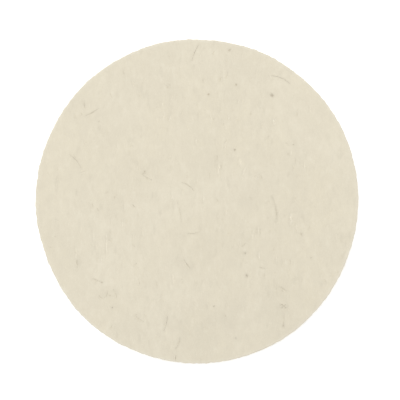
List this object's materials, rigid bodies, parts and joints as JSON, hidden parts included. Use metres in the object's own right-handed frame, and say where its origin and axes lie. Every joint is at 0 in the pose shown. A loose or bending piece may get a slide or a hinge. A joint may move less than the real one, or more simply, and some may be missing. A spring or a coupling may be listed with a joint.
{
  "type": "felt polishing disc",
  "caption": "Flat round pad of pressed wool felt with no centre hole and a peel-and-stick back, for polishing stones on a turning lap plate.",
  "frame": {"origin": "centre of the disc on the outer face of the release paper, which is the face it lies on", "axes": "+Z out of the felt's working face and along the axis the disc turns about on a lap; the slit in the release paper runs along Y, with the left half at -X"},
  "size_m": [0.1524, 0.1524, 0.0067],
  "materials": {
    "felt": "undyed pressed wool felt, matte, fibrous",
    "adhesive": "clear acrylic pressure-sensitive adhesive, faintly amber",
    "carrier_film": "clear polyester film",
    "release_paper": "natural kraft release paper, smooth silicone coat"
  },
  "bodies": {
    "pad": {"felt_disc": "felt", "felt_side_adhesive": "adhesive", "carrier_film": "carrier_film", "plate_side_adhesive": "adhesive"},
    "liner_left": {"release_liner_left": "release_paper"},
    "liner_right": {"release_liner_right": "release_paper"}
  },
  "joints": [
    {"name": "liner_left_peel", "type": "hinge", "parent": "pad", "child": "liner_left", "pos_m": [-0.07645, 0, 0.00013], "axis": [0, 1, 0], "range_deg": [0, 180]},
    {"name": "liner_right_peel", "type": "hinge", "parent": "pad", "child": "liner_right", "pos_m": [0.07645, 0, 0.00013], "axis": [0, -1, 0], "range_deg": [0, 180]}
  ]
}
